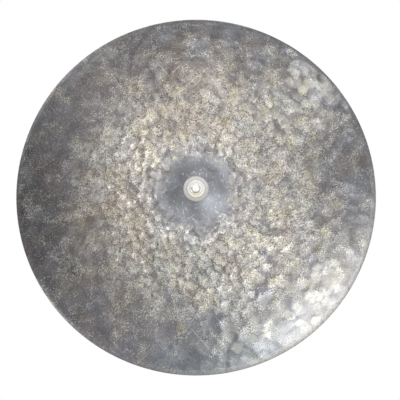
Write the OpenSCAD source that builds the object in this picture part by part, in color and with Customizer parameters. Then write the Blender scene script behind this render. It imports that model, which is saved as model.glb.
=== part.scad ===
/* [Gong disc] */
// Outside diameter of the disc
gong_d = 508; // [420:1:620]
// Thickness of the hammered bronze sheet
sheet_t = 1.6; // [1:0.1:2.6]
// Diameter of the cup where it leaves the bow
cup_d = 88; // [72:1:110]
// Height of the cup above the bow
cup_rise = 16; // [12:0.5:20]
// Radius of the hollow blend from the cup into the bow
cup_blend_r = 40; // [20:1:60]
// Rise of the bow from the rim to the foot of the cup
bow_rise = 24; // [16:1:36]
// Width of the rolled edge at the rim
edge_w = 8; // [5:0.5:12]
// Radius of the rolled edge
edge_r = 40; // [30:1:60]

/* [Lean] */
// Angle at which the disc hangs back on its felts, and the same again the other way
lean = 8; // [4:0.5:10]

/* [Felts] */
// Outside diameter of both felts
felt_d = 35; // [28:0.5:42]
// Thickness of a felt at its middle
felt_t = 8; // [6:0.5:10]
// Radius of the soft edges of the felts
felt_edge_r = 1.5; // [0.5:0.1:2]

/* [Stud] */
// Thread size of the stud
stud_d = 8; // [6:0.5:10]
// Thread pitch of the stud
thread_pitch = 1.25; // [0.8:0.05:1.5]
// Length of the free threaded tail behind the nuts
tail_len = 60; // [30:1:90]
// Length of the chamfer on each end of the stud
stud_chamfer = 1; // [0.5:0.1:1.5]

/* [Sleeve] */
// Wall of the nylon sleeve
sleeve_wall = 1; // [0.8:0.1:1.6]
// Diameter of the flange at the back of the sleeve
flange_d = 22; // [18:0.5:28]
// Thickness of the flange
flange_t = 2; // [1.5:0.1:3]
// Radius of the moulded edges of the flange
flange_edge_r = 0.4; // [0.2:0.05:0.6]
// Length of the lead-in chamfer at the front of the sleeve
sleeve_lead = 0.5; // [0.2:0.1:0.7]

/* [Washers] */
// Outside diameter of both metal washers
washer_d = 24; // [20:0.5:30]
// Thickness of the metal washers
washer_t = 2; // [1.5:0.1:3]
// Radius of the stamped edge of the washers
washer_edge_r = 0.4; // [0.2:0.05:0.6]

/* [Nuts] */
// Width of all nuts across their flats
nut_af = 13; // [12:0.5:17]
// How far the turned faces of the nuts stay inside their flats
face_inset = 0.3; // [0.1:0.05:0.6]
// Slope of the turned-off corners and of the countersunk mouths of the nuts
corner_angle = 30; // [20:1:35]
// Height of the seat nut, and of the hexagon of the dome nut
nut_h = 6.5; // [5:0.1:8]
// Height of the thin jam nut
jam_h = 4; // [3:0.1:6]
// Angle of the jam nut past the seat nut
jam_turn = 30; // [0:1:59]
// Overall height of the dome nut
dome_h = 15; // [13:0.1:18]
// Diameter of the dome
dome_d = 12.5; // [10.5:0.1:13]
// Depth of the blind thread in the dome nut
dome_depth = 11; // [9:0.1:12]
// Point angle of the drill that made the blind hole
drill_angle = 118; // [90:1:140]

/* [Clearances] */
// Radial play of the sleeve on the stud
run_play = 0.05; // [0.02:0.01:0.1]
// Radial play of the washers on the stud
washer_play = 0.2; // [0.1:0.05:0.5]
// Radial play between mated threads
thread_play = 0.03; // [0.01:0.01:0.05]
// How far the countersunk mouth of a nut is wider than the stud
mouth_play = 0.2; // [0.1:0.05:0.4]
// Least room between the sleeve and the edge of the disc's hole
hole_play = 0.35; // [0.2:0.05:0.6]
// Room between a felt and what moves against it
soft_gap = 0.3; // [0.2:0.05:0.5]
// Play of the sleeve and of the stud's front end along the stud
end_float = 0.2; // [0.1:0.05:0.4]

/* [Hidden] */
$fn = 96;

// How far a cutting tool runs out past what it cuts
overrun = 1;

gong_r = gong_d / 2;
felt_r = felt_d / 2;
stud_r = stud_d / 2;
// Threads are drawn at their pitch line where a nut covers them, a set share of the pitch under the crests
pitch_line_share = 0.6495;
thread_r = (stud_d - pitch_line_share * thread_pitch) / 2;
nut_bore_r = thread_r + thread_play;
nut_mouth_r = stud_r + mouth_play;
nut_mouth_depth = (nut_mouth_r - nut_bore_r) * tan(corner_angle);
washer_hole_r = stud_r + washer_play;
sleeve_bore_r = stud_r + run_play;
sleeve_r = sleeve_bore_r + sleeve_wall;

// Disc profile in its own frame: origin at the middle of the crown, front face up
crown_z = sheet_t / 2;
cup_r = (pow(cup_d / 2, 2) + pow(cup_rise, 2)) / (2 * cup_rise);
cup_c = [0, crown_z - cup_r];
foot = [cup_d / 2, crown_z - cup_rise];
rim = [gong_r, foot.y - bow_rise];
bow_y = (pow(rim.x, 2) - pow(foot.x, 2) + pow(rim.y, 2) - pow(foot.y, 2)) / (2 * (rim.y - foot.y));
// The long bow radius is kept to whole hundredths, so that its arcs meet the others cleanly
bow_c = [0, round(bow_y * 100) / 100];
bow_r = round(norm(foot - bow_c) * 100) / 100;
// How far each arc runs past tangency into the next
arc_bite = 0.002;
// The blend circle touches the cup and the bow from outside
blend_to_bow = bow_r + cup_blend_r - arc_bite;
blend_to_cup = cup_r + cup_blend_r - arc_bite;
blend_y = (pow(blend_to_bow, 2) - pow(blend_to_cup, 2) - pow(bow_c.y, 2) + pow(cup_c.y, 2))
          / (2 * (cup_c.y - bow_c.y));
blend_c = [sqrt(pow(blend_to_cup, 2) - pow(blend_y - cup_c.y, 2)), blend_y];
// Corners of the filling under the blend, well inside the cup and the bow
blend_root = cup_rise / 2;
blend_in_cup = cup_c + (cup_r - blend_root) / blend_to_cup * (blend_c - cup_c);
blend_in_bow = bow_c + (bow_r - blend_root) / blend_to_bow * (blend_c - bow_c);
// The rolled edge starts where the bow is edge_w short of the rim, and ends in a rounded tip
bow_end = asin((gong_r - edge_w) / bow_r);
edge_c = bow_c + (bow_r - edge_r + arc_bite) * [sin(bow_end), cos(bow_end)];
edge_mid_r = edge_r - sheet_t / 2;
edge_end = asin((gong_r - sheet_t / 2 - edge_c.x) / edge_mid_r);
edge_tip = edge_c + edge_mid_r * [sin(edge_end), cos(edge_end)];

// The hole clears the sleeve at full lean
hole_r = (sleeve_r + hole_play + crown_z * sin(lean)) / cos(lean);
// The rear felt nests in the cup; its back face and bore clear the flange and sleeve at full lean
felt_front = crown_z + soft_gap;
felt_back = felt_front + felt_t;
felt_bore_r = (sleeve_r + soft_gap + felt_back * sin(lean)) / cos(lean);
rear_reach = (felt_back + soft_gap + min(felt_d, flange_d) / 2 * sin(lean)) / cos(lean);
// Height of the leaning crown above the pivot
crown_reach = cup_r - (cup_r - crown_z) * cos(lean);

// Stations along the stud, from the back of the jam nut towards the front
seat_nut_z = jam_h;
rear_washer_z = seat_nut_z + nut_h;
flange_z = rear_washer_z + washer_t + end_float;
pivot_z = flange_z + flange_t + rear_reach;
front_felt_z = pivot_z + crown_reach + soft_gap;
front_washer_z = front_felt_z + felt_t;
dome_nut_z = front_washer_z + washer_t;
stud_end_z = dome_nut_z + dome_depth - end_float;
sleeve_end_z = front_washer_z - end_float;
shank_end_z = dome_nut_z - washer_t / 2;

nut_corner_r = nut_af / sqrt(3);
nut_face_r = nut_af / 2 - face_inset;
nut_chamfer = (nut_corner_r - nut_face_r) * tan(corner_angle);
drill_point = nut_bore_r / tan(drill_angle / 2);

// The stud lies along Y with the front of the gong towards -Y
module on_stud(z) {
    rotate([90, 0, 0])
        translate([0, 0, z])
            children();
}

// Pieces that hang with the disc lean about the middle of its hole
module leaning() {
    on_stud(pivot_z)
        rotate([-lean, 0, 0])
            children();
}

// Rectangle from the axis side, with rounded corners
module soft_box(x0, x1, y0, y1, r) {
    translate([x0 + r, y0])
        square([x1 - x0 - 2 * r, y1 - y0]);
    translate([x0, y0 + r])
        square([x1 - x0, y1 - y0 - 2 * r]);
    for (x = [x0 + r, x1 - r], y = [y0 + r, y1 - r])
        translate([x, y])
            circle(r);
}

// Slice of a circle between two angles off the axis direction
module slice(c, r, a0, a1) {
    far = 2 * r;
    translate(c)
        intersection() {
            circle(r);
            polygon([[0, 0], far * [sin(a0), cos(a0)], far * [sin(a1), cos(a1)]]);
        }
}

// Half section of all that lies behind the face of the disc, or behind its back when inset by the sheet.
// The edge slice starts well inside the bow, and the skirt reaches well below the rim
module behind_face(inset, edge_stop, hole_x) {
    edge_overlap = 20;
    skirt = 20;
    floor_y = edge_tip.y - skirt - inset;
    intersection() {
        union() {
            translate(cup_c)
                circle(cup_r - inset);
            slice(bow_c, bow_r - inset, -bow_end, bow_end);
            slice(edge_c, edge_r - inset, bow_end - edge_overlap, edge_stop);
        }
        translate([hole_x, floor_y])
            square([gong_r, crown_z + overrun - floor_y]);
    }
}

// Half section of the filling in the corner between cup and bow, hollowed by the blend
module blend_fill(inset) {
    difference() {
        polygon([blend_in_cup, blend_c, blend_in_bow]);
        translate(blend_c)
            circle(cup_blend_r + inset);
    }
}

// Sheet between face and back: cup, hollow blend, bow and rolled edge, with a rounded tip.
// The back is cut some degrees past the end of the edge
module disc_sheet() {
    inner_overrun = 10;
    difference() {
        union() {
            rotate_extrude()
                behind_face(0, edge_end, hole_r);
            rotate_extrude()
                blend_fill(0);
        }
        rotate_extrude()
            behind_face(sheet_t, edge_end + inner_overrun, hole_r - overrun);
        rotate_extrude()
            blend_fill(sheet_t);
    }
    rotate_extrude()
        translate(edge_tip)
            circle(sheet_t / 2 + arc_bite);
}

// Hexagon with its corners turned off at both ends, one corner up
module hex_body(h) {
    corner_up = 30;
    intersection() {
        rotate([0, 0, corner_up])
            cylinder(h = h, r = nut_corner_r, $fn = 6);
        rotate_extrude()
            polygon([[0, 0], [nut_face_r, 0], [nut_corner_r, nut_chamfer],
                     [nut_corner_r, h - nut_chamfer], [nut_face_r, h], [0, h]]);
    }
}

// Half section of a threaded hole right through a nut, countersunk at both mouths
module nut_hole(h) {
    far = h + overrun;
    polygon([[0, -overrun], [nut_mouth_r, -overrun], [nut_mouth_r, 0], [nut_bore_r, nut_mouth_depth],
             [nut_bore_r, h - nut_mouth_depth], [nut_mouth_r, h], [nut_mouth_r, far], [0, far]]);
}

// Half section of a blind threaded hole, countersunk at its mouth and ending in a drill point
module blind_hole(depth) {
    polygon([[0, -overrun], [nut_mouth_r, -overrun], [nut_mouth_r, 0], [nut_bore_r, nut_mouth_depth],
             [nut_bore_r, depth], [0, depth + drill_point]]);
}

module hex_nut(h) {
    difference() {
        hex_body(h);
        rotate_extrude()
            nut_hole(h);
    }
}

module flat_washer() {
    rotate_extrude()
        soft_box(washer_hole_r, washer_d / 2, 0, washer_t, washer_edge_r);
}

// Steel stud: chamfered tail, thread under the rear nuts, plain shank, front thread
module mounting_stud() {
    tail_r = stud_r - stud_chamfer;
    tip_r = thread_r - stud_chamfer;
    color("#b9bcc0")
        on_stud(0)
            rotate_extrude()
                polygon([[0, -tail_len], [tail_r, -tail_len], [stud_r, stud_chamfer - tail_len], [stud_r, 0],
                         [thread_r, 0], [thread_r, rear_washer_z], [stud_r, rear_washer_z],
                         [stud_r, shank_end_z], [thread_r, shank_end_z],
                         [thread_r, stud_end_z - stud_chamfer], [tip_r, stud_end_z], [0, stud_end_z]]);
}

module jam_nut() {
    color("#c4c6c6")
        on_stud(0)
            rotate([0, 0, jam_turn])
                hex_nut(jam_h);
}

module seat_nut() {
    color("#c4c6c6")
        on_stud(seat_nut_z)
            hex_nut(nut_h);
}

module rear_washer() {
    color("#d0d0cc")
        on_stud(rear_washer_z)
            flat_washer();
}

// Nylon bush that turns on the stud, with a round-edged flange behind the rear felt
module sleeve() {
    tube_end = sleeve_end_z - flange_z;
    tube_start = flange_t / 2;
    color("#e8e6dd")
        on_stud(flange_z)
            rotate_extrude() {
                soft_box(sleeve_bore_r, flange_d / 2, 0, flange_t, flange_edge_r);
                polygon([[sleeve_bore_r, tube_start], [sleeve_r, tube_start],
                         [sleeve_r, tube_end - sleeve_lead], [sleeve_r - sleeve_lead, tube_end],
                         [sleeve_bore_r, tube_end]]);
            }
}

// Felt behind the disc, domed to fill the cup
module rear_felt() {
    color("#d9d7d0")
        leaning()
            rotate_extrude()
                intersection() {
                    soft_box(felt_bore_r, felt_r, -felt_back, crown_z, felt_edge_r);
                    translate(cup_c)
                        circle(cup_r - sheet_t - soft_gap);
                }
}

// Hammered bronze disc, hung back on its felts
module gong_disc() {
    color("#7d776c")
        leaning()
            disc_sheet();
}

module front_felt() {
    color("#d9d7d0")
        on_stud(front_felt_z)
            rotate_extrude()
                soft_box(sleeve_r + soft_gap, felt_r, 0, felt_t, felt_edge_r);
}

module front_washer() {
    color("#d8d8d2")
        on_stud(front_washer_z)
            flat_washer();
}

// Dome nut that closes the front of the stud
module dome_nut() {
    dome_r = dome_d / 2;
    color("#ececea")
        on_stud(dome_nut_z)
            difference() {
                union() {
                    hex_body(nut_h);
                    cylinder(h = dome_h - dome_r, r = dome_r);
                    translate([0, 0, dome_h - dome_r])
                        sphere(dome_r);
                }
                rotate_extrude()
                    blind_hole(dome_depth);
            }
}

mounting_stud();
jam_nut();
seat_nut();
rear_washer();
sleeve();
rear_felt();
gong_disc();
front_felt();
front_washer();
dome_nut();
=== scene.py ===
# %% [markdown]
# # A tam-tam gong on its centre stud
# The real object is one disc of hammered bronze sheet that hangs on a steel stud. Two felt washers pinch it, so that
# it can ring, and a dome nut holds the stack together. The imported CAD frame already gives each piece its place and
# its motion. This lesson adds what a CAD solid lacks: hammer marks, a dark patina with worn gold flecks, felt that
# looks soft, a real thread and plated metal.

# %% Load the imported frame
import math

import bpy
import numpy as np
from mathutils import Euler, Matrix, Vector


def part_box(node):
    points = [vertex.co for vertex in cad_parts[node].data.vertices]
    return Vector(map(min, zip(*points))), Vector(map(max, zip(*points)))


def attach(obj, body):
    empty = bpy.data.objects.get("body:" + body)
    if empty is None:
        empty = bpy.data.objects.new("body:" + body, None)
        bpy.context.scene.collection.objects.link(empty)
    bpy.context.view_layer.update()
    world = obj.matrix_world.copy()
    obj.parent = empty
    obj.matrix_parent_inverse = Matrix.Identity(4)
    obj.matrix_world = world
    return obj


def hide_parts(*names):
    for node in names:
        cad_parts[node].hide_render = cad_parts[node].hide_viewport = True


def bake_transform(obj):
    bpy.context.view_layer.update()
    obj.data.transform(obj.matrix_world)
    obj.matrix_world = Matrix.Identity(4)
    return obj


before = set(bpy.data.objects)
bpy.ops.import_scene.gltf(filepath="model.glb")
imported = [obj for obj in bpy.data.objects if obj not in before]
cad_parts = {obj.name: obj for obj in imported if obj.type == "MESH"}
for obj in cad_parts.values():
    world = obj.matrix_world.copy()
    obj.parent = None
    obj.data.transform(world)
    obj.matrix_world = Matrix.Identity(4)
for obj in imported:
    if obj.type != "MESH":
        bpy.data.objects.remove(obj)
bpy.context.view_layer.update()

# %% [markdown]
# ## Camera
# The photograph was taken level, straight along the stud: its washers are concentric, while the disc's outline is a
# little flatter than it is wide, because the disc hangs back. A camera could be aimed with a constraint, but a level
# one only needs a quarter turn. A long lens about 1.4 m away gives the outline, and the camera sits a few millimetres
# off the stud's axis. Sizes are written in millimetres, as on a drawing, and turned to metres with `MM`.

# %% Camera
MM = 0.001
CAMERA_AT = (5.5 * MM, -1400 * MM, -15.3 * MM)
SENSOR_WIDTH, LENS = 36, 90.1
camera_data = bpy.data.cameras.new("camera")
camera_data.sensor_width = SENSOR_WIDTH
camera_data.lens = LENS
camera = bpy.data.objects.new("camera", camera_data)
camera.location = CAMERA_AT
camera.rotation_euler = (math.radians(90), 0, 0)
bpy.context.scene.collection.objects.link(camera)
bpy.context.scene.camera = camera
print("camera at", CAMERA_AT, "lens", LENS)

# %% [markdown]
# ## Colours and nodes
# Colours are easiest to pick as sRGB hex values, but shaders count in linear light, so one function converts them.
# Another adds a shader node, with its settings and links, and hands back its output, so that a material reads from
# top to bottom like a recipe.

# %% Helpers for colours and nodes
def linear(hex_colour):
    """sRGB hex text to a linear RGBA tuple."""
    values = [int(hex_colour[i:i + 2], 16) / 255 for i in (1, 3, 5)]
    return tuple(v / 12.92 if v <= 0.04045 else ((v + 0.055) / 1.055) ** 2.4 for v in values) + (1.0,)


def add(tree, kind, sockets=None, out=None, **settings):
    """Add a shader node and return the output named, or the first.

    A socket is given by its name, or by its number where two share a name. It takes a plain value or another output.
    """
    node = tree.nodes.new("ShaderNode" + kind)
    for name, value in settings.items():
        setattr(node, name, value)
    for key, value in (sockets or {}).items():
        by_name = [s for s in node.inputs if s.enabled and s.name == key]
        socket = by_name[0] if by_name else node.inputs[key]
        if isinstance(value, bpy.types.NodeSocket):
            tree.links.new(value, socket)
        else:
            socket.default_value = value
    outputs = [s for s in node.outputs if s.enabled and out in (None, s.name)]
    return outputs[0] if outputs else node


print("middle grey #808080 is", round(linear("#808080")[0], 3), "in linear light")

# %% [markdown]
# ## White room
# The gong is shown alone on white. A bright world would do that, but it would also wash out the metal. So the world
# is white to the camera and to reflections, and dimmer to the surfaces that it lights, and lamps can shape them. A
# pale floor far below keeps the gong's shadow and fades to white around it.

# %% World that is white to look at
scene = bpy.context.scene
scene.view_settings.view_transform = "Standard"
WHITE = (1, 1, 1, 1)
WORLD_LIGHT = 0.42

scene.world = bpy.data.worlds.new("white_room")
scene.world.use_nodes = True
tree = scene.world.node_tree
tree.nodes.clear()


def seen_directly(tree):
    """1 for rays from the camera, from reflections or through glass, and 0 for light that falls on a surface."""
    path = add(tree, "LightPath").node.outputs
    either = add(tree, "Math", {0: path["Is Camera Ray"], 1: path["Is Glossy Ray"]}, operation="MAXIMUM")
    return add(tree, "Math", {0: either, 1: path["Is Transmission Ray"]}, operation="MAXIMUM")


strength = add(tree, "MapRange", {"Value": seen_directly(tree), "To Min": WORLD_LIGHT, "To Max": 1.0})
sky = add(tree, "Background", {"Color": WHITE, "Strength": strength})
add(tree, "OutputWorld", {"Surface": sky})
print("world: white to the camera,", WORLD_LIGHT, "as light")

# %% Floor paint that keeps a shadow and fades to white
FADE_NEAR, FADE_FAR, NEAR_GLOW = 0.5, 1.3, 0.55


def new_material(name):
    """A material with an empty node tree, and that tree."""
    material = bpy.data.materials.new(name)
    material.use_nodes = True
    material.node_tree.nodes.clear()
    return material, material.node_tree


floor_material, tree = new_material("pale_floor")
place = add(tree, "TexCoord", out="Object")
distance = add(tree, "VectorMath", {"Vector": place}, out="Value", operation="LENGTH")
glow = add(tree, "MapRange", {"Value": distance, "From Min": FADE_NEAR, "From Max": FADE_FAR, "To Min": NEAR_GLOW},
           interpolation_type="SMOOTHSTEP")
share = add(tree, "Math", {0: glow, 1: seen_directly(tree)}, operation="MULTIPLY")
paint = add(tree, "BsdfDiffuse", {"Color": linear("#f4f4f2")})
white = add(tree, "Emission", {"Color": WHITE, "Strength": 1.0})
surface = add(tree, "MixShader", {"Fac": share, 1: paint, 2: white})
add(tree, "OutputMaterial", {"Surface": surface})
print("floor: fades to white between", FADE_NEAR, "and", FADE_FAR, "m")

# %% Floor
FLOOR_Z, FLOOR_SIDE = -0.75, 60


def new_piece(name, points, faces, material):
    """A smooth-shaded mesh object, in the frame of the CAD model."""
    mesh = bpy.data.meshes.new(name)
    mesh.from_pydata(points, [], faces)
    mesh.polygons.foreach_set("use_smooth", [True] * len(mesh.polygons))
    mesh.materials.append(material)
    mesh.update()
    piece = bpy.data.objects.new(name, mesh)
    bpy.context.scene.collection.objects.link(piece)
    print(f"{name}: {len(mesh.vertices)} points, {len(mesh.polygons)} faces")
    return piece


half = FLOOR_SIDE / 2
floor_corners = [(-half, -half, 0), (half, -half, 0), (half, half, 0), (-half, half, 0)]
floor = new_piece("floor", floor_corners, [(0, 1, 2, 3)], floor_material)
floor.location.z = FLOOR_Z

# %% [markdown]
# ## Lamps
# Bronze shows its lamps as reflections, so each lamp is a rectangle that the disc can mirror, not a point. The middle
# of the disc mirrors a soft box over the camera, and its upper part one above that and a small window high on the
# right. The lower right edge and the flank of the cup mirror a long window, low on the right, with a dim glow round
# it. The windows on the left and behind, the overhead lamp and the fill stand where the disc doesn't mirror them to
# this camera, and shape the metal in views from other sides.

# %% Lamps
# Name, degrees to the right of the camera and above the stud, distance, width and height in m, roll in degrees, watts
LAMPS = [("soft_box_over_camera", 0, 16, 1.45, 0.34, 0.34, 0, 1.6),
         ("soft_box_above", 0, 40, 1.45, 0.50, 0.50, 0, 1.2),
         ("window_high_right", 31, 38, 1.45, 0.30, 0.30, 0, 1.0),
         ("window_high_left", -72, 42, 1.45, 1.00, 1.00, 0, 2.4),
         ("window_low_right", 28, -14, 1.45, 0.62, 0.18, 36, 2.3),
         ("window_glow", 24, -7, 1.5, 1.10, 0.55, 36, 3.0),
         ("window_far_left", -53, -31, 1.6, 0.70, 0.70, 0, 4.5),
         ("window_behind", 129, -25, 1.6, 0.50, 0.50, 0, 1.6),
         ("overhead", 160, 78, 1.7, 1.20, 1.20, 0, 6.0),
         ("fill_behind", 210, 22, 1.9, 1.00, 1.00, 0, 4.0)]
for name, right, above, reach, wide, tall, roll, watts in LAMPS:
    data = bpy.data.lights.new(name, "AREA")
    data.shape = "RECTANGLE"
    data.size, data.size_y = wide, tall
    data.energy = watts
    lamp = bpy.data.objects.new(name, data)
    # A lamp shines along its own -Z. It is pushed back along +Z, then tipped up and turned, so it faces the stud
    turn = Euler((math.radians(90 - above), 0, math.radians(right))).to_matrix()
    lamp.location = turn @ Vector((0, 0, reach))
    lamp.rotation_euler = (turn @ Matrix.Rotation(math.radians(roll), 3, "Z")).to_euler()
    lamp.visible_camera = False
    scene.collection.objects.link(lamp)
    print(name, "at", [round(c, 2) for c in lamp.location])

# %% [markdown]
# ## The shape of the disc
# The sheet is 1.6 mm thick all over. Its section runs from the hole over the cup, through a hollow blend, along the
# long bow and round the rolled edge. A Screw modifier could turn that section round the axis, but the hammer marks
# need points of their own, so the rings are made here. Each stretch of the section is an arc, sampled from the same
# centres and radii as the CAD source. Rings near the rim have four times the points of those near the hole, so that
# neighbours are never more than about 2.5 mm apart.

# %% Section of the disc
# The disc's own axes in the frame: it leans back about the pivot on its rear felt
LEAN = math.radians(8)
PIVOT = np.array([0, -25.7383, 0]) * MM
ACROSS = np.array([1.0, 0.0, 0.0])
UP = np.array([0.0, math.sin(LEAN), math.cos(LEAN)])
FRONT = np.array([0.0, -math.cos(LEAN), math.sin(LEAN)])
SHEET = 1.6
HOLE_R = 5.5655
# Centre, radius and first and last angle off the axis of each arc of the face, in mm and degrees. The blend is
# hollow, so it is seen from inside its arc, and its angles lie past 180
CUP = ((0, -67.7), 68.5, 4.66, 31.992)
BLEND = ((57.4824, 24.3195), 40.0, 211.992, 182.4287)
BOW = ((0, -1330.95), 1316.49, 2.4287, 10.77)
EDGE = ((238.526, -76.9415), 40.0, 10.77, 21.98)
RING_STEP, FEWEST_STEPS = 1.6, 4


def face_section():
    """Radius, height and normal of the face, from the hole to the rim, one row for each ring."""
    rows = []
    for (cx, cy), radius, first, last in (CUP, BLEND, BOW, EDGE):
        steps = max(FEWEST_STEPS, round(radius * abs(math.radians(last - first)) / RING_STEP))
        turn = np.radians(np.linspace(first, last, steps + 1))
        out = -1 if first > 180 else 1
        sin, cos = np.sin(turn), np.cos(turn)
        arc = np.stack([cx + radius * sin, cy + radius * cos, out * sin, out * cos], 1)
        rows.append(arc[:-1])
    return np.concatenate(rows + [arc[-1:]])


section = face_section()
print(len(section), "rings on the face, from radius", section[0, 0].round(2), "to", section[-1, 0].round(2))

# %% Rings of points round an axis
# Rings below each radius in mm have this many points
RING_POINTS = [(40, 160), (92, 320), (math.inf, 640)]


def ring_faces(counts, closed=False):
    """Quads between rings that lie next to each other, and triangles where the count doubles or halves."""
    starts = np.concatenate([[0], np.cumsum(counts)])
    faces = []
    pairs = [(k, k + 1) for k in range(len(counts) - 1)] + ([(len(counts) - 1, 0)] if closed else [])
    for k, m in pairs:
        a, b, na, nb = int(starts[k]), int(starts[m]), counts[k], counts[m]
        for i in range(min(na, nb)):
            j = (i + 1) % min(na, nb)
            if na == nb:
                faces.append((a + i, a + j, b + j, b + i))
            elif nb > na:
                near, mid, far = b + 2 * i, b + 2 * i + 1, b + (2 * i + 2) % nb
                faces += [(a + i, mid, near), (a + i, a + j, mid), (a + j, far, mid)]
            else:
                near, mid, far = a + 2 * i, a + 2 * i + 1, a + (2 * i + 2) % na
                faces += [(near, mid, b + i), (mid, b + j, b + i), (mid, far, b + j)]
    return faces


def ring_angles(counts):
    """Angles of the points of each ring, evenly spaced from the right."""
    return np.concatenate([np.arange(n) * 2 * math.pi / n for n in counts])


counts = [next(points for limit, points in RING_POINTS if r < limit) for r in section[:, 0]]
angles = ring_angles(counts)
per_point = np.repeat(np.arange(len(section)), counts)
flat_r = section[per_point, 0]
flat = np.stack([flat_r * np.cos(angles), flat_r * np.sin(angles)], 1)
print(len(flat), "points on the face")

# %% [markdown]
# ## Hammer marks
# A smith works round the disc in circles, and each blow of the hammer's ball leaves a shallow bowl that cuts into its
# neighbours. Few blows land square, so most bowls are deeper on one side, and some are burnished bright. A bump in
# the shader would show no crests in the outline and none in the exported mesh, so the marks are real geometry: the
# depth at a point is the lowest of all bowls there, which leaves sharp little crests between them. Small marks lie
# round the cup and broad ones near the rim, and the cup itself is left smooth.

# %% Sizes of the blows
FIRST_BLOW_R, LAST_BLOW_R = 50.0, 250.0
SMALL_BLOW, BROAD_BLOW = 8.5, 13.0
# Degrees that the side of a bowl is steep, how far that varies, and its limits
STEEP_BLOW, FLAT_BLOW = 10.5, 4.5
STEEP_SPREAD, FLAT_SPREAD = 2.5, 1.0
LEAST_STEEP, MOST_STEEP = 2, 18
# Blows grow broader and flatter between these radii
BROADER_FROM, BROADEST_AT = 110, 200
# As shares of the space between blows: how far they scatter, how big they are, and how far apart the circles lie
SCATTER, SMALLEST, LARGEST, CIRCLE_STEP = 0.32, 0.78, 1.0, 0.86
LEAN_SPREAD, LEAN_LIMIT = 0.45, 0.9
# Above 1, most blows burnish little and a few burnish much
FEW_BRIGHT = 1.5


def fade(value, start, stop):
    """0 before start, 1 after stop, smooth between."""
    t = np.clip((value - start) / (stop - start), 0, 1)
    return t * t * (3 - 2 * t)


print("blows", SMALL_BLOW, "to", BROAD_BLOW, "mm apart, up to", MOST_STEEP, "degrees steep")

# %% Place the blows
rng = np.random.default_rng(20)
blows = []
radius = FIRST_BLOW_R
while radius < LAST_BLOW_R:
    share = fade(radius, BROADER_FROM, BROADEST_AT)
    space = SMALL_BLOW + (BROAD_BLOW - SMALL_BLOW) * share
    count = int(2 * math.pi * radius / space)
    angle = (np.arange(count) + rng.uniform()) * 2 * math.pi / count
    along = rng.normal(0, SCATTER * space, count)
    reach = radius + rng.normal(0, SCATTER * space, count)
    size = space * rng.uniform(SMALLEST, LARGEST, count)
    light = rng.uniform(0, 1, count) ** FEW_BRIGHT
    steep = STEEP_BLOW + (FLAT_BLOW - STEEP_BLOW) * share
    spread = STEEP_SPREAD + (FLAT_SPREAD - STEEP_SPREAD) * share
    slope = np.radians(rng.normal(steep, spread, count).clip(LEAST_STEEP, MOST_STEEP))
    angle = angle + along / radius
    lean_x, lean_y = rng.normal(0, LEAN_SPREAD, (2, count)).clip(-LEAN_LIMIT, LEAN_LIMIT)
    x, y, deep = reach * np.cos(angle), reach * np.sin(angle), size * np.tan(slope) / 2
    blows.append(np.stack([x, y, size, deep, lean_x, lean_y, light], 1))
    radius += CIRCLE_STEP * space
blows = np.concatenate(blows)
print(len(blows), "hammer blows, up to", blows[:, 3].max().round(2), "mm deep")


# %% Depth of the marks
def ripple(points, wave, seed, terms=24):
    """Smooth random waves of about unit size, at a wavelength in mm."""
    draw = np.random.default_rng(seed)
    angle = draw.uniform(0, 2 * math.pi, terms)
    turns = 2 * math.pi / (wave * draw.uniform(0.7, 1.4, terms))
    phase = draw.uniform(0, 2 * math.pi, terms)
    total = np.zeros(len(points))
    for a, k, p in zip(angle, turns, phase):
        total += np.sin(k * (points[:, 0] * math.cos(a) + points[:, 1] * math.sin(a)) + p)
    return total * math.sqrt(2 / terms)


def hammered(points):
    """Depth in mm of the blows at points of the disc, and how brightly the hammer burnished each point."""
    depth = np.zeros(len(points))
    burnish = np.zeros(len(points))
    ragged = 0.13 * ripple(points, 7, 19)
    for x, y, size, deep, lean_x, lean_y, light in blows:
        near = np.flatnonzero((abs(points[:, 0] - x) < size) & (abs(points[:, 1] - y) < size))
        dx, dy = (points[near, 0] - x) / size, (points[near, 1] - y) / size
        share = dx ** 2 + dy ** 2
        depth[near] = np.minimum(depth[near], deep * np.minimum(share - 1, 0) * (1 + lean_x * dx + lean_y * dy))
        burnish[near] = np.maximum(burnish[near], light * (1 - fade(share + ragged[near], 0.28, 0.48)))
    return depth, burnish


marks, burnish = hammered(flat)
print("deepest mark", marks.min().round(2), "mm")

# %% [markdown]
# The sheet moves as a whole, so the back bulges where the face is dented. It also waves a little, as all hand-made
# gongs do, in long waves over the bow and shorter ones towards the rim. The smith planished the lower right edge once
# more, so the marks are shallower there.

# %% Marks and waves of the sheet
LONG_WAVE, SHORT_WAVE = 110, 36
LONG_SWING, SHORT_SWING = 0.35, 0.13
PLANISHED = 0.35


def toward(degrees, spread, full=0):
    """1 on the side of the disc at an angle from the right, fading from full to 0 at a spread to both sides."""
    turn = np.abs((np.degrees(angles) - degrees + 180) % 360 - 180)
    return 1 - fade(turn, full, spread)


def within(rise_from, rise_to, fall_from, fall_to):
    """1 on a ring of the disc, fading in and out between radii in mm."""
    return fade(flat_r, rise_from, rise_to) * (1 - fade(flat_r, fall_from, fall_to))


struck = within(44, 56, 246, 252) * (1 - PLANISHED * fade(flat_r, 195, 225) * toward(318, 50, full=20))
waves = LONG_SWING * ripple(flat, LONG_WAVE, 5) * within(55, 110, 215, 250)
waves = waves + SHORT_SWING * ripple(flat, SHORT_WAVE, 6) * within(120, 180, 232, 250)
moved = marks * struck + waves
print("face moves between", moved.min().round(2), "and", moved.max().round(2), "mm")

# %% Build the disc
# Steps and centre of the half round that closes the rim
TIP_STEPS = 6
TIP_R, TIP_H = 253.18, -40.5917


def on_disc(radius, angle, height):
    """Points in mm, from a radius, an angle and a height along the disc's leaning axis."""
    return (PIVOT / MM + np.outer(radius * np.cos(angle), ACROSS) + np.outer(radius * np.sin(angle), UP)
            + np.outer(height, FRONT))


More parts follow.
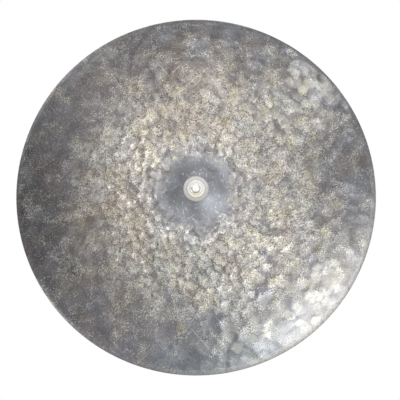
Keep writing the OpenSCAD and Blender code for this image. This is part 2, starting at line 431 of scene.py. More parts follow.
def disc_points(inset):
    """The face moved by its marks, or the back when inset by the sheet."""
    r, h, nr, nh = section[per_point].T
    r = r + nr * (moved - inset)
    h = h + nh * (moved - inset)
    # The wall of the hole stays straight
    r = np.where(per_point == 0, HOLE_R, r)
    return on_disc(r, angles, h)


def ring_by_ring(values):
    """Values of the face split into its rings, from the rim to the hole, as the back needs them."""
    return np.split(values, np.cumsum(counts)[:-1])[::-1]


rim_points = counts[-1]
tip = []
for k in range(1, TIP_STEPS):
    turn = math.radians(EDGE[3]) + math.pi * k / TIP_STEPS
    tip_r, tip_h = TIP_R + SHEET / 2 * math.sin(turn), TIP_H + SHEET / 2 * math.cos(turn)
    tip.append(on_disc(tip_r, ring_angles([rim_points]), tip_h))
disc_xyz = MM * np.concatenate([disc_points(0), *tip, *ring_by_ring(disc_points(SHEET))])
disc_counts = counts + [rim_points] * (TIP_STEPS - 1) + counts[::-1]
disc_faces = ring_faces(disc_counts, closed=True)
print("disc:", len(disc_xyz), "points in", len(disc_counts), "rings")

# %% [markdown]
# ## Zones of the patina
# The bronze was darkened all over, then the disc was rubbed and struck, so bright metal shows through in flecks. They
# crowd in the middle zone and thin out towards the rim, warmer on the left and at the top than elsewhere. The dark
# film is thickest along the left rim and thinnest at the upper right, and the smooth cup stays a bluish grey. The
# same
# values also paint light and shade: painted shade on the left rim, round the stack and on the upper left of the cup,
# and painted highlights on the lower right rim, at the upper right and on the lower right of the cup.
# Painting these slow changes by hand would tie them to an image, so they are sums of soft spots, sides and bands,
# kept on the points of the mesh as named values. The flecks themselves are finer than the mesh, so the shader draws
# them.

# %% Where the metal is rubbed, warm or cool
def spots(rows):
    """A sum of soft round spots: how strong each is, its place on the disc and its size in mm."""
    return sum(share * np.exp(-((flat[:, 0] - x) ** 2 + (flat[:, 1] - y) ** 2) / (2 * size ** 2))
               for share, x, y, size in rows)


def sides(rows):
    """A sum of soft sides: how strong each is, the radii that it fades in between, its angle and its spread."""
    return sum(share * fade(flat_r, start, stop) * toward(side, spread) for share, start, stop, side, spread in rows)


def bands(rows, soft=3):
    """As sides, but each is a band that lies between two radii."""
    return sum(share * within(first - soft, first + soft, last - soft, last + soft) * toward(side, spread)
               for share, first, last, side, spread in rows)


# The outer zone starts and is complete at these radii
OUTER = (120, 245)
gilt_end = 194 + 14 * np.cos(angles + 0.35) + 18 * ripple(flat, 70, 11)
gilt = fade(flat_r, 42, 96) * (1 - fade(flat_r - gilt_end, -110, 60))
gilt = np.clip(gilt + 0.12 * ripple(flat, 40, 12) * fade(flat_r, 48, 70), 0, 1)
warm = spots([(0.9, -115, -28, 42), (0.85, 12, 172, 50), (0.6, -45, 95, 35), (0.5, -122, 160, 25),
              (-0.3, 124, -135, 40)])
warm = np.clip(0.25 + warm + 0.14 * ripple(flat, 60, 13), 0, 1)
cool = sides([(0.8, *OUTER, 280, 45), (0.35, *OUTER, 80, 40), (0.35, *OUTER, 0, 45), (0.15, 45, 70, 275, 50)])
cool = cool + bands([(0.35, 42, 75, 235, 50)]) + 0.15 * fade(flat_r, 220, 245)
cool = np.clip(cool + 0.15 * ripple(flat, 50, 17), 0, 1)
print("mean of gilt", gilt.mean().round(2), "warm", warm.mean().round(2), "cool", cool.mean().round(2))

# %% How much light the dark film lets through, with painted shade and painted highlights
CLEAN_FILM, OUTER_FILM = 0.88, 0.14
# Below 0 the film is darker, above 0 it is rubbed thinner. Many rows are also painted light: painted shade along the
# left rim, painted highlights beside the lit lower right rim, and painted shade and highlights round the cup
FILM_AND_PAINTED_LIGHT_SIDES = [(-0.41, *OUTER, 190, 80), (-0.03, *OUTER, 45, 48), (0.16, *OUTER, 236, 52), (0.12, 60, 120, 138, 32),
              (-0.13, 70, 120, 104, 32), (-0.09, 70, 110, 285, 26), (-0.06, 110, 160, 55, 40),
              (0.06, 110, 150, 255, 24), (0.14, 215, 245, 350, 36), (0.05, 205, 245, 70, 50),
              (0.16, 205, 235, 288, 24), (0.06, 225, 245, 105, 24)]
FILM_AND_PAINTED_LIGHT_BANDS = [(0.17, 26, 52, 15, 45), (-0.16, 25, 40, 88, 42), (0.12, 43, 55, 175, 45), (0.14, 34, 44, 310, 60),
              (-0.15, 19, 43, 222, 24)]
# Spots below and left of the stack are its painted shadow, and the dark spot on the upper left of the cup is a
# painted dark reflection
FILM_AND_PAINTED_LIGHT_SPOTS = [(0.12, -85, 40, 45), (-0.38, -20, 19, 12), (-0.24, -4, -22, 8), (-0.38, -25, -6, 11),
              (-0.30, 25, 10, 10), (0.12, -18, -33, 12), (-0.20, 20, -8, 6)]
film_and_painted_light = CLEAN_FILM - OUTER_FILM * fade(flat_r, *OUTER) + sides(FILM_AND_PAINTED_LIGHT_SIDES) + bands(FILM_AND_PAINTED_LIGHT_BANDS) + spots(FILM_AND_PAINTED_LIGHT_SPOTS)
# Painted shade darkens the foot of the cup towards the lower right, the foot is rubbed all round, and a painted
# highlight lightens the cup above it on that side
film_and_painted_light = film_and_painted_light - 0.26 * within(38, 46, 50, 60) * toward(315, 70) + 0.13 * within(40, 46, 52, 58)
film_and_painted_light = film_and_painted_light + 0.30 * (1 - fade(flat_r, 36, 54)) * toward(322, 46)
film_and_painted_light = film_and_painted_light + 0.04 * ripple(flat, 55, 15) + 0.04 * ripple(flat, 28, 16)
print("film between", film_and_painted_light.min().round(2), "and", film_and_painted_light.max().round(2))

# %% Gold spots, calm zones and bright blows with painted highlights, the cup and the paler rim
GOLD = 0.55
GOLD_SPOTS = [(-200, -150, 4), (181, -58, 4.5), (109, -152, 4.5), (55, 184, 4.5), (-21, -190, 4.5), (157, 31, 5),
              (171, -81, 4), (172, 77, 4.5), (153, 147, 5), (107, -125, 4), (98, 115, 4.5), (-29, 146, 4),
              (-53, -123, 4), (41, 100, 3.5), (43, -180, 4)]
gold = spots([(GOLD, *spot) for spot in GOLD_SPOTS])
# Calm zones were burnished evenly, so they show few flecks. They lie where the lamps' highlights fall, at the lower
# and upper right, and their pale cream and bright faces are painted highlights
calm_and_highlit = sides([(0.85, 160, 222, 308, 64)]) + spots([(0.55, 150, 152, 36)])
# Burnished faces are brightest in the middle zone. The spot at the upper right and the calm zones add painted
# highlights
bright_blows_and_highlights = 0.25 + 0.75 * within(40, 52, 110, 215) + spots([(0.9, 150, 150, 34), (0.5, -130, 190, 22)])
bright_blows_and_highlights = bright_blows_and_highlights + 0.6 * calm_and_highlit
cup_edge = flat_r + 6 * ripple(flat, 26, 14) + 4 * ripple(flat, 11, 18)
patina = {"gilt": gilt, "warm": warm, "cool": cool, "film_and_painted_light": film_and_painted_light, "gold": gold, "calm_and_highlit": calm_and_highlit,
          "burnish": burnish * np.clip(bright_blows_and_highlights, 0, 1),
          "cup_zone": 1 - fade(cup_edge, 36, 68),
          # The rim is a little bare all round, and much paler on the lower right, which is partly bare metal and
          # partly painted light
          "bare_and_lit_edge": fade(flat_r, 245, 250) * (0.08 + 0.75 * toward(312, 72))}
print("patina:", {name: float(values.mean().round(2)) for name, values in patina.items()})

# %% [markdown]
# ## Hammered bronze with a rubbed patina
# The real finish is bronze sheet, hammered, darkened with a chemical and rubbed back. To the eye it is a satin metal
# whose dark film scatters a little light, so it isn't fully metallic. One noise with a colour ramp would give spots
# of one kind. Here four noises work together: patches that were rubbed, specks inside them, glints that are finer
# still, and a slow drift of the tint.

# %% Noises of the bronze
bronze, tree = new_material("hammered_bronze_rubbed_patina")
place = add(tree, "TexCoord", out="Object")
value = {name: add(tree, "Attribute", out="Fac", attribute_name=name) for name in patina}
# The finest real flecks are about half a millimetre, and are drawn as 1.5 mm so that they show
PATCH, SPECK, GLINT, TINT = 17 * MM, 3.6 * MM, 1.5 * MM, 16 * MM
patch = add(tree, "TexNoise", {"Vector": place, "Scale": 1 / PATCH, "Detail": 3.0, "Roughness": 0.62}, out="Fac")
speck = add(tree, "TexNoise", {"Vector": place, "Scale": 1 / SPECK, "Detail": 2.2, "Roughness": 1.0}, out="Fac")
glint = add(tree, "TexNoise", {"Vector": place, "Scale": 1 / GLINT, "Detail": 0.0}, out="Fac")
tint = add(tree, "TexNoise", {"Vector": place, "Scale": 1 / TINT, "Detail": 2.0, "Roughness": 0.8}, out="Color")
tints = add(tree, "SeparateColor", {"Color": tint}).node.outputs
print("bronze: patches of", PATCH / MM, "mm, specks of", SPECK / MM, "mm, glints of", GLINT / MM, "mm")

# %% Flecks of rubbed metal
# Rubbed patches are pushed up or down by the zone, and specks of metal show inside them
level = add(tree, "MapRange", {"Value": value["gilt"], "To Min": -0.12, "To Max": 0.09})
zoned = add(tree, "Math", {0: patch, 1: level}, operation="ADD")
worn = add(tree, "MapRange", {"Value": zoned, "From Min": 0.39, "From Max": 0.6, "To Min": 0.13},
           interpolation_type="SMOOTHSTEP")
soft = add(tree, "MapRange", {"Value": speck, "From Min": 0.39, "From Max": 0.65, "To Min": -0.10, "To Max": 0.70})
bright = add(tree, "MapRange", {"Value": glint, "From Min": 0.50, "From Max": 0.70, "To Min": soft, "To Max": 1.25})
specks = add(tree, "Math", {0: worn, 1: bright}, operation="MULTIPLY")
# A few glints sparkle everywhere, and calm zones, where highlights are painted, even the specks out
sparkle = add(tree, "MapRange", {"Value": glint, "From Min": 0.65, "From Max": 0.71, "To Max": 0.42})
specks = add(tree, "Math", {0: specks, 1: sparkle}, operation="ADD")
specks = add(tree, "MapRange", {"Value": value["calm_and_highlit"], "To Min": specks, "To Max": 0.30})
# Where the hammer burnished a round face, the metal shows more. In the calm zones these faces are painted highlights
least = add(tree, "MapRange", {"Value": specks, "To Max": 0.62})
most = add(tree, "MapRange", {"Value": specks, "To Min": 0.48, "To Max": 1.10})
rubbed = add(tree, "MapRange", {"Value": value["burnish"], "To Min": least, "To Max": most})
print("flecks: burnished faces on", round(100 * float((patina["burnish"] > 0.5).mean())), "% of the points")

# %% Colours of the oxide and the rubbed metal
# Dark oxide drifts between a purplish and an olive grey, and rubbed metal between cream and tan, with yellow patches
DRIFT = {"From Min": 0.35, "From Max": 0.65}
drift = add(tree, "MapRange", {"Value": tints["Red"], **DRIFT, "To Min": -0.65, "To Max": 0.65})
dull = add(tree, "Math", {0: value["gilt"], 1: drift}, operation="ADD", use_clamp=True)
turn = add(tree, "MapRange", {"Value": tints["Green"], **DRIFT, "To Min": -0.5, "To Max": 0.5})
hue = add(tree, "Math", {0: value["warm"], 1: turn}, operation="ADD", use_clamp=True)
yellow = add(tree, "MapRange", {"Value": tints["Blue"], "From Min": 0.52, "From Max": 0.66, "To Max": 0.45})
cooled = add(tree, "MapRange", {"Value": value["cool"], "To Max": 0.6})
oxide = add(tree, "Mix", {"Factor": dull, "A": linear("#737077"), "B": linear("#777371")}, data_type="RGBA")
for factor, colour in ((value["warm"], "#79716b"), (value["cool"], "#6e747e")):
    oxide = add(tree, "Mix", {"Factor": factor, "A": oxide, "B": linear(colour)}, data_type="RGBA")
metal = add(tree, "Mix", {"Factor": hue, "A": linear("#d0cfc5"), "B": linear("#d4c8bb")}, data_type="RGBA")
metal = add(tree, "Mix", {"Factor": value["gilt"], "A": linear("#d1cfcc"), "B": metal}, data_type="RGBA")
# The calm zones take a pale cream, as part of their painted highlight
TINTS = ((yellow, "#cfd09a"), (cooled, "#cdd0cc"), (value["gold"], "#d3c978"), (value["calm_and_highlit"], "#cfd0c2"))
for factor, colour in TINTS:
    metal = add(tree, "Mix", {"Factor": factor, "A": metal, "B": linear(colour)}, data_type="RGBA")
skin = add(tree, "Mix", {"Factor": rubbed, "A": oxide, "B": metal}, data_type="RGBA")
print("bronze: oxide and metal mixed by", len(value), "values of the mesh")

# %% [markdown]
# ## Scratches, the smooth cup and the film
# Handling leaves long fine scratches on the disc, and short ones on the cup, where a hand turns the nut. Curves could
# draw them one by one, but a noise that is stretched along one direction gives many at once. The cup wasn't struck,
# so it is a smooth bluish grey, and round bright marks of stray blows lie over its foot. Last, the film darkens what
# is not rubbed, and carries painted shade and painted highlights with it, small dark pits lie in the rubbed patches,
# and the outermost rim is a little bare all round and much paler on the lower right, partly bare and partly painted
# light.

# %% Scratches and the smooth cup
# Real scratches are a tenth of a millimetre wide, and are drawn as 1.1 mm so that they show
SCRATCH_WIDE = 1.1 * MM
LONG_SCRATCH, SHORT_SCRATCH = 60 * MM, 8 * MM


def scratched(skin, leans, length, first, last, most, colour):
    """A colour with straight scratches over it. Each set leans off upright by an angle in degrees."""
    for lean_over in leans:
        along = add(tree, "Mapping", {"Vector": place, "Rotation": (0, math.radians(lean_over), 0),
                                      "Scale": (SCRATCH_WIDE, length, length)}, vector_type="TEXTURE")
        line = add(tree, "TexNoise", {"Vector": along, "Scale": 1.0, "Detail": 0.0}, out="Fac")
        share = add(tree, "MapRange", {"Value": line, "From Min": first, "From Max": last, "To Max": most})
        skin = add(tree, "Mix", {"Factor": share, "A": skin, "B": linear(colour)}, data_type="RGBA")
    return skin


skin = scratched(skin, (-42, 48), LONG_SCRATCH, 0.77, 0.83, 0.35, "#d6d4cd")
smudge = add(tree, "Mix", {"Factor": tints["Blue"], "A": linear("#8b8f95"), "B": linear("#a3a4a9")}, data_type="RGBA")
smudge = scratched(smudge, (4, 58, -40), SHORT_SCRATCH, 0.74, 0.79, 0.9, "#dcdde0")
covered = add(tree, "MapRange", {"Value": value["burnish"], "To Min": value["cup_zone"], "To Max": 0.0})
skin = add(tree, "Mix", {"Factor": covered, "A": skin, "B": smudge}, data_type="RGBA")
print("scratches: drawn", SCRATCH_WIDE / MM, "mm wide,", LONG_SCRATCH / MM, "or", SHORT_SCRATCH / MM, "mm long")

# %% Film with painted light and shade, pits and the paler rim
# However thick the film is, flecks that were rubbed through it keep this much of their light
FLECK_LIGHT = 0.76
shallow = add(tree, "MapRange", {"Value": worn, "To Min": 0.98, "To Max": 0.62})
pits = add(tree, "MapRange", {"Value": glint, "From Min": 0.28, "From Max": 0.44, "To Min": shallow})
cleared = add(tree, "Math", {0: value["film_and_painted_light"], 1: FLECK_LIGHT}, operation="MAXIMUM")
# The film darkens what is not rubbed, and carries painted shade and painted highlights with it
filmed_with_painted_light = add(tree, "MapRange", {"Value": rubbed, "To Min": value["film_and_painted_light"], "To Max": cleared})
shade = add(tree, "Math", {0: pits, 1: filmed_with_painted_light}, operation="MULTIPLY")
skin = add(tree, "VectorMath", {"Vector": skin, "Scale": shade}, operation="SCALE")
# Painted light and bare metal: the rim is paler, most on the lower right
bare_and_lit = add(tree, "MapRange", {"Value": speck, "From Min": 0.34, "From Max": 0.50, "To Max": value["bare_and_lit_edge"]})
skin = add(tree, "Mix", {"Factor": bare_and_lit, "A": skin, "B": linear("#b9b8b5")}, data_type="RGBA")
print("film: flecks keep at least", FLECK_LIGHT, "of their light")

# %% Gloss and relief of the bronze
# The hammered sheet is satin, and the cup and the bare rim are more matt. The specks stand a little proud of the film
rough = add(tree, "MapRange", {"Value": value["gilt"], "To Min": 0.22, "To Max": 0.33})
for zone, matt in (("calm_and_highlit", 0.25), ("bare_and_lit_edge", 0.5), ("cup_zone", 0.52)):
    rough = add(tree, "Mix", {"Factor": value[zone], "A": rough, "B": matt}, data_type="FLOAT")
grip = add(tree, "MapRange", {"Value": value["calm_and_highlit"], "To Min": 0.10, "To Max": 0.03})
relief = add(tree, "Bump", {"Height": speck, "Distance": 0.6 * MM, "Strength": grip})
relief = add(tree, "Bump", {"Height": rubbed, "Distance": 0.25 * MM, "Strength": 0.2, "Normal": relief})
shader = add(tree, "BsdfPrincipled", {"Base Color": skin, "Metallic": 0.75, "Roughness": rough, "Normal": relief})
add(tree, "OutputMaterial", {"Surface": shader})
print("bronze:", len(tree.nodes), "nodes")

# %% Hang the disc in the frame
gong = new_piece("hammered_disc", disc_xyz.tolist(), disc_faces, bronze)
for name, on_face in patina.items():
    rim = np.tile(on_face[-rim_points:], TIP_STEPS - 1)
    layer = gong.data.attributes.new(name, "FLOAT", "POINT")
    layer.data.foreach_set("value", np.concatenate([on_face, rim, *ring_by_ring(on_face)]).astype(np.float32))
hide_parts("gong_disc")
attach(gong, "disc")

# %% [markdown]
# ## Felt washers
# Wool felt is pressed from loose fibres, so it has no weave: it is a soft block with rounded edges and a faintly
# lumpy skin. The front felt is pinched by its metal washer and swells around it. The rear felt fills the wedge
# between the sleeve's flange and the hanging cup. Plain rings with a bump in the shader would do from afar, but the
# swelling shows in the outline, so each felt is a ring with a rounded section, pushed to the faces of its neighbours.

# %% Rounded section of a felt ring
FELT_R, FELT_STEPS, FELT_ABOUT = 17.5, 64, 180
# 2 would be an ellipse, and more is squarer
FELT_SQUARENESS = 2.8
FINE_STEPS = 2001


def felt_section():
    """Points of a rounded square from -1 to 1, evenly spaced along it: across the felt, and through its thickness."""
    turn = np.linspace(0, 2 * math.pi, FINE_STEPS)
    across = np.sign(np.cos(turn)) * np.abs(np.cos(turn)) ** (2 / FELT_SQUARENESS)
    through = np.sign(np.sin(turn)) * np.abs(np.sin(turn)) ** (2 / FELT_SQUARENESS)
    length = np.concatenate([[0], np.cumsum(np.hypot(np.diff(across), np.diff(through)))])
    even = np.linspace(0, length[-1], FELT_STEPS, endpoint=False)
    return np.interp(even, length, across), np.interp(even, length, through)


print("felt section:", len(felt_section()[0]), "points, felts of", 2 * FELT_R, "mm")

# %% Felt ring between two faces
# Height, width in mm and seed of the lumps, which are only on the outer part, and the room that they need there
LUMPS = [(0.10, 9, 31), (0.07, 4, 32)]
LUMPS_FROM_R, LUMP_ROOM = 12, 0.25
# The lumps are shifted through the thickness, so that they differ from back to front
LUMP_SHIFT = 9


def felt_piece(name, bore, back_face, front_face, material):
    """A felt ring between two faces, each a function of radius and angle that gives points in mm."""
    across, through = felt_section()
    around = ring_angles([FELT_ABOUT])
    radius = np.repeat((FELT_R + bore) / 2 + (FELT_R - bore) / 2 * across, FELT_ABOUT)
    share = np.repeat((1 + through) / 2, FELT_ABOUT)
    angle = np.tile(around, FELT_STEPS)
    shift = LUMP_SHIFT * share
    skin = np.stack([radius * np.cos(angle) + shift, radius * np.sin(angle) + shift], 1)
    lumps = sum(high * ripple(skin, wave, seed) for high, wave, seed in LUMPS)
    radius = radius + (lumps - LUMP_ROOM) * (radius > LUMPS_FROM_R)
    share = share[:, None]
    points = (1 - share) * back_face(radius, angle) + share * front_face(radius, angle)
    faces = ring_faces([FELT_ABOUT] * FELT_STEPS, closed=True)
    piece = new_piece(name, (points * MM).tolist(), faces, material)
    return piece


print("felt lumps:", [wave for high, wave, seed in LUMPS], "mm wide")

# %% [markdown]
# Felt is a mat of crossing fibres. Hair particles could draw each one, but they are slow and don't survive an export,
# so a noise that is bent back on itself stands in for them, in the colour and in a fine bump.

# %% Pressed wool felt
# Matted off-white fibres: no gloss at all, a soft pale sheen at grazing angles, and a cloudy mix of lighter and
# greyer wool, with painted shade that greys it below. The fibres are far finer than a pixel, so they are drawn about
# 1 mm long
felt, tree = new_material("pressed_wool_felt")
place = add(tree, "TexCoord", out="Object")
FIBRE, MATTING = 1.1 * MM, 5 * MM
UNSHADED_ABOVE, GREY_BELOW = 10 * MM, -16 * MM
fibre = add(tree, "TexNoise", {"Vector": place, "Scale": 1 / FIBRE, "Detail": 3.0, "Roughness": 0.7,
                               "Distortion": 1.2}, out="Fac")
matting = add(tree, "TexNoise", {"Vector": place, "Scale": 1 / MATTING, "Detail": 2.0}, out="Fac")
height = add(tree, "SeparateXYZ", {"Vector": place}, out="Z")
wisps = add(tree, "MapRange", {"Value": fibre, "From Min": 0.35, "From Max": 0.7, "To Max": 0.45})
# Painted shade: the felt turns greyer towards its bottom
painted_shade_below = add(tree, "MapRange", {"Value": height, "From Min": UNSHADED_ABOVE, "From Max": GREY_BELOW, "To Max": 0.5})
wool = add(tree, "Mix", {"Factor": matting, "A": linear("#dfdedc"), "B": linear("#ebeae8")}, data_type="RGBA")
for factor, colour in ((wisps, "#c6c4c1"), (painted_shade_below, "#b3b1ad")):
    wool = add(tree, "Mix", {"Factor": factor, "A": wool, "B": linear(colour)}, data_type="RGBA")
rough = add(tree, "MapRange", {"Value": fibre, "To Min": 0.85, "To Max": 1.0})
nap = add(tree, "Bump", {"Height": fibre, "Distance": 0.3 * MM, "Strength": 0.6})
shader = add(tree, "BsdfPrincipled", {"Base Color": wool, "Roughness": rough, "Specular IOR Level": 0.15,
                                      "Sheen Weight": 0.25, "Sheen Roughness": 0.5, "Normal": nap})
add(tree, "OutputMaterial", {"Surface": shader})
print("wool felt: fibres drawn", FIBRE / MM, "mm long")

# %% Faces that the felts lie against
WASHER_R, FLANGE_THICK = 12.0, 2.0
# In mm, how far the front felt lies behind its washer, swells round it and sags on the cup, and how near the rear
# felt comes to both of its neighbours
WASHER_GAP, SWELL, SAG, NEAR_TOUCH = 0.05, 0.8, 0.4, 0.15
FLANGE_FRONT = 1000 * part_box("sleeve")[1].y - FLANGE_THICK


def on_stud(radius, angle, y):
    """Points in mm round the stud's level axis."""
    return np.stack([radius * np.cos(angle), y * np.ones(len(radius)), radius * np.sin(angle)], 1)


def pinched_front(radius, angle):
    """Flat under the washer, and swollen forwards around it."""
    washer_back = 1000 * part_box("front_washer")[1].y
    return on_stud(radius, angle, washer_back + WASHER_GAP - SWELL * fade(radius, WASHER_R - 0.3, WASHER_R + 2))


def sagging_back(radius, angle):
    """Flat on the crown of the cup, and a little nearer to the disc further out."""
    return on_stud(radius, angle, 1000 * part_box("front_felt")[1].y + SAG * fade(radius, 8, 16))


def under_cup(radius, angle):
    """Close behind the back of the cup."""
    return on_disc(radius, angle, CUP[0][1] + np.sqrt((CUP[1] - SHEET - NEAR_TOUCH) ** 2 - radius ** 2))


def on_flange(radius, angle):
    """Close in front of the sleeve's flange."""
    return on_stud(radius, angle, FLANGE_FRONT - NEAR_TOUCH)


print("front of the flange at", round(FLANGE_FRONT, 2), "mm")

# %% Both felts
FRONT_BORE, REAR_BORE = 5.45, 6.6
front_felt = felt_piece("soft_front_felt", FRONT_BORE, sagging_back, pinched_front, felt)
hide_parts("front_felt")
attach(front_felt, "front_stack")
rear_felt = felt_piece("soft_rear_felt", REAR_BORE, on_flange, under_cup, felt)
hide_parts("rear_felt")
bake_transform(rear_felt)

# %% [markdown]
# ## Threaded stud
# The tail of the stud is what a stand takes hold of, so its thread is in plain sight from the back. A bump could fake
# it, but the saw-tooth outline would be missing. Here the radius of each point follows a real M8 thread: a 60 degree
# V, flat at crest and root, that climbs one pitch for each turn.

# %% Radius of the stud along its length
STUD_R, THREAD_ROOT_R, PITCH = 3.995, 3.24, 1.25
# Shares of a pitch that are flat at the crest and at the root
CREST_FLAT, ROOT_FLAT = 0.125, 0.25
STUD_ABOUT, STEPS_PER_PITCH = 48, 12
# Where a nut covers the stud it is plain, and slimmer. Both ends are chamfered
COVERED_R, NOSE_R, TAIL_NOSE_R = 3.56, 2.6, 2.95
# Place and radius in mm of stations along the stud, from the front end in the dome nut to the back of the jam nut
HIDDEN_STUD = [(-48.28, NOSE_R), (-47.3, COVERED_R), (-36.5, COVERED_R), (-36.5, STUD_R), (-10.5, STUD_R),
               (-10.5, COVERED_R), (-0.05, COVERED_R)]
TAIL_END = 1000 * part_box("mounting_stud")[1].y


def tail_radius(y, angle):
    """Radius of the threaded tail: trapezoid teeth that climb one pitch a turn, and a chamfer at the end."""
    phase = (y / PITCH - angle / (2 * math.pi)) % 1
    from_crest = np.abs(phase - 0.5) * 2
    tooth = np.clip((1 - ROOT_FLAT - from_crest) / (1 - ROOT_FLAT - CREST_FLAT), 0, 1)
    return np.minimum(THREAD_ROOT_R + (STUD_R - THREAD_ROOT_R) * tooth, TAIL_NOSE_R + (TAIL_END - y))


around = ring_angles([STUD_ABOUT])
tail = np.linspace(0, TAIL_END, round(TAIL_END / PITCH * STEPS_PER_PITCH) + 1)
stud_rings = [(y, np.full(STUD_ABOUT, r)) for y, r in HIDDEN_STUD] + [(y, tail_radius(y, around)) for y in tail]
stud_xyz = np.concatenate([on_stud(r, around, y) for y, r in stud_rings])
ends = np.array([[0, stud_rings[0][0], 0], [0, TAIL_END, 0]])
stud_faces = ring_faces([STUD_ABOUT] * len(stud_rings))
front_end, tail_end, last = len(stud_xyz), len(stud_xyz) + 1, len(stud_xyz) - STUD_ABOUT
for i in range(STUD_ABOUT):
    j = (i + 1) % STUD_ABOUT
    stud_faces += [(front_end, j, i), (tail_end, last + i, last + j)]
print(len(stud_rings), "rings on the stud,", round(TAIL_END / PITCH), "turns of thread")

# %% [markdown]
# The stud is turned steel with a thin coat of zinc against rust. An even grey would look like paint, because plating
# varies a little everywhere: one slow noise gives its cloudy colour, and one fine noise its grain, in gloss and bump.

# %% Zinc-plated steel
# Bluish grey plating over turned steel: bright but not mirror-like, with a faint cloudy drift between blue and yellow
# from the passivated skin. The grain of the plating is drawn coarser than it is, so that it shows
zinc, tree = new_material("zinc_plated_steel")
place = add(tree, "TexCoord", out="Object")
CLOUD, PLATING_GRAIN = 6 * MM, 0.9 * MM
cloud = add(tree, "TexNoise", {"Vector": place, "Scale": 1 / CLOUD, "Detail": 3.0}, out="Fac")
grain = add(tree, "TexNoise", {"Vector": place, "Scale": 1 / PLATING_GRAIN, "Detail": 2.0}, out="Fac")
drift = add(tree, "MapRange", {"Value": cloud, "From Min": 0.35, "From Max": 0.65})
plate = add(tree, "Mix", {"Factor": drift, "A": linear("#a9b0b8"), "B": linear("#bdbab0")}, data_type="RGBA")
rough = add(tree, "MapRange", {"Value": grain, "From Min": 0.3, "From Max": 0.7, "To Min": 0.26, "To Max": 0.42})
relief = add(tree, "Bump", {"Height": grain, "Distance": 0.04 * MM, "Strength": 0.4})
shader = add(tree, "BsdfPrincipled", {"Base Color": plate, "Metallic": 1.0, "Roughness": rough, "Normal": relief})
add(tree, "OutputMaterial", {"Surface": shader})

stud = new_piece("threaded_stud", (np.concatenate([stud_xyz, ends]) * MM).tolist(), stud_faces, zinc)
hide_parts("mounting_stud")
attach(stud, "stud")

# %% [markdown]
# ## Nuts, washers and sleeve
# These pieces already have their true shape in the CAD frame, down to the chamfers on the corners of the nuts, so
# they only get a finish: a CAD node takes a new material in its own material slots. The nuts and washer behind the
# disc are zinc plated like the stud. The washer and dome nut in front are nickel plated, because they are seen. The
# sleeve is moulded nylon. Pictures of such surfaces would be quick, but noises with sizes in millimetres stay sharp
# at any distance, and rings round the stud's axis give the marks of turning.

# %% Polished nickel plate
# A warm, almost white metal. It was a mirror when new, and rubbing and smears have softened it, more in some places
# than in others. Its hairlines are drawn coarser than they are, so that they show
nickel, tree = new_material("polished_nickel_plate")
place = add(tree, "TexCoord", out="Object")
SMEAR, HAIRLINE = 4 * MM, 0.8 * MM
smear = add(tree, "TexNoise", {"Vector": place, "Scale": 1 / SMEAR, "Detail": 3.0, "Roughness": 0.6}, out="Fac")
hairline = add(tree, "TexNoise", {"Vector": place, "Scale": 1 / HAIRLINE, "Detail": 2.0}, out="Fac")
plate = add(tree, "Mix", {"Factor": smear, "A": linear("#efede9"), "B": linear("#f7f5f2")}, data_type="RGBA")
rough = add(tree, "MapRange", {"Value": smear, "From Min": 0.3, "From Max": 0.7, "To Min": 0.30, "To Max": 0.42})
relief = add(tree, "Bump", {"Height": hairline, "Distance": 0.02 * MM, "Strength": 0.3})
shader = add(tree, "BsdfPrincipled", {"Base Color": plate, "Metallic": 1.0, "Roughness": rough, "Normal": relief})
add(tree, "OutputMaterial", {"Surface": shader})
print("nickel: smears of", SMEAR / MM, "mm")

# %% Satin nickel plate
# The washer has the same plating, turned and left satin: greyer, with rings from the tool, and a painted warm
# reflection that yellows it at the bottom. The rings are drawn wider apart than they are, so that they show
satin_nickel, tree = new_material("satin_nickel_plate")
place = add(tree, "TexCoord", out="Object")
TURNING = 1.6 * MM
REFLECTION_FROM, REFLECTION_FULL_AT = -4 * MM, -11 * MM
from_axis = add(tree, "VectorMath", {0: place, 1: (1, 0, 1)}, operation="MULTIPLY")
radius = add(tree, "VectorMath", {"Vector": from_axis}, out="Value", operation="LENGTH")
rings = add(tree, "TexNoise", {"W": radius, "Scale": 1 / TURNING, "Detail": 1.0}, out="Fac", noise_dimensions="1D")
height = add(tree, "SeparateXYZ", {"Vector": place}, out="Z")
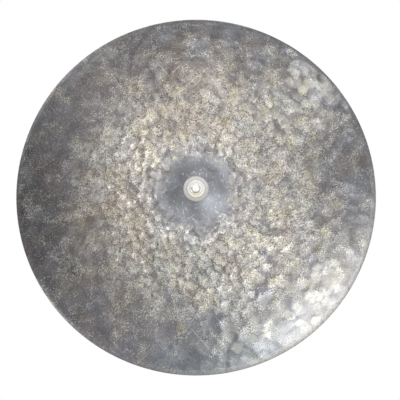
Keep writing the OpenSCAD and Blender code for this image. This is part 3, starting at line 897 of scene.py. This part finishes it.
# Painted reflection: the washer turns yellowish towards its bottom
painted_reflection_below = add(tree, "MapRange", {"Value": height, "From Min": REFLECTION_FROM, "From Max": REFLECTION_FULL_AT, "To Max": 0.8})
plate = add(tree, "Mix", {"Factor": rings, "A": linear("#aaa9a6"), "B": linear("#dcdbd7")}, data_type="RGBA")
plate = add(tree, "Mix", {"Factor": painted_reflection_below, "A": plate, "B": linear("#d2cba8")}, data_type="RGBA")
rough = add(tree, "MapRange", {"Value": rings, "From Min": 0.3, "From Max": 0.7, "To Min": 0.30, "To Max": 0.42})
relief = add(tree, "Bump", {"Height": rings, "Distance": 0.05 * MM, "Strength": 0.3})
shader = add(tree, "BsdfPrincipled", {"Base Color": plate, "Metallic": 1.0, "Roughness": rough, "Normal": relief})
add(tree, "OutputMaterial", {"Surface": shader})
print("satin nickel: rings", TURNING / MM, "mm apart")

# %% Moulded nylon
# Natural nylon: milky off-white with a soft gloss, a little yellower where it is thick, and a faint orange-peel skin
# that is drawn coarser than it is, so that it shows
nylon, tree = new_material("moulded_nylon")
place = add(tree, "TexCoord", out="Object")
FLOW, PEEL = 7 * MM, 1.0 * MM
NYLON_IOR = 1.53
flow = add(tree, "TexNoise", {"Vector": place, "Scale": 1 / FLOW, "Detail": 2.0}, out="Fac")
peel = add(tree, "TexNoise", {"Vector": place, "Scale": 1 / PEEL, "Detail": 1.0}, out="Fac")
milk = add(tree, "Mix", {"Factor": flow, "A": linear("#dcd6c6"), "B": linear("#e9e5d9")}, data_type="RGBA")
rough = add(tree, "MapRange", {"Value": peel, "To Min": 0.34, "To Max": 0.48})
relief = add(tree, "Bump", {"Height": peel, "Distance": 0.05 * MM, "Strength": 0.3})
shader = add(tree, "BsdfPrincipled", {"Base Color": milk, "Roughness": rough, "IOR": NYLON_IOR, "Normal": relief})
add(tree, "OutputMaterial", {"Surface": shader})
print("nylon: peel of", PEEL / MM, "mm")

# %% Finish the CAD pieces
FINISHES = {"jam_nut": zinc, "seat_nut": zinc, "rear_washer": zinc, "sleeve": nylon, "front_washer": satin_nickel,
            "dome_nut": nickel}
for name, material in FINISHES.items():
    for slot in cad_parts[name].material_slots:
        slot.material = material
print("finished:", {name: material.name for name, material in FINISHES.items()})
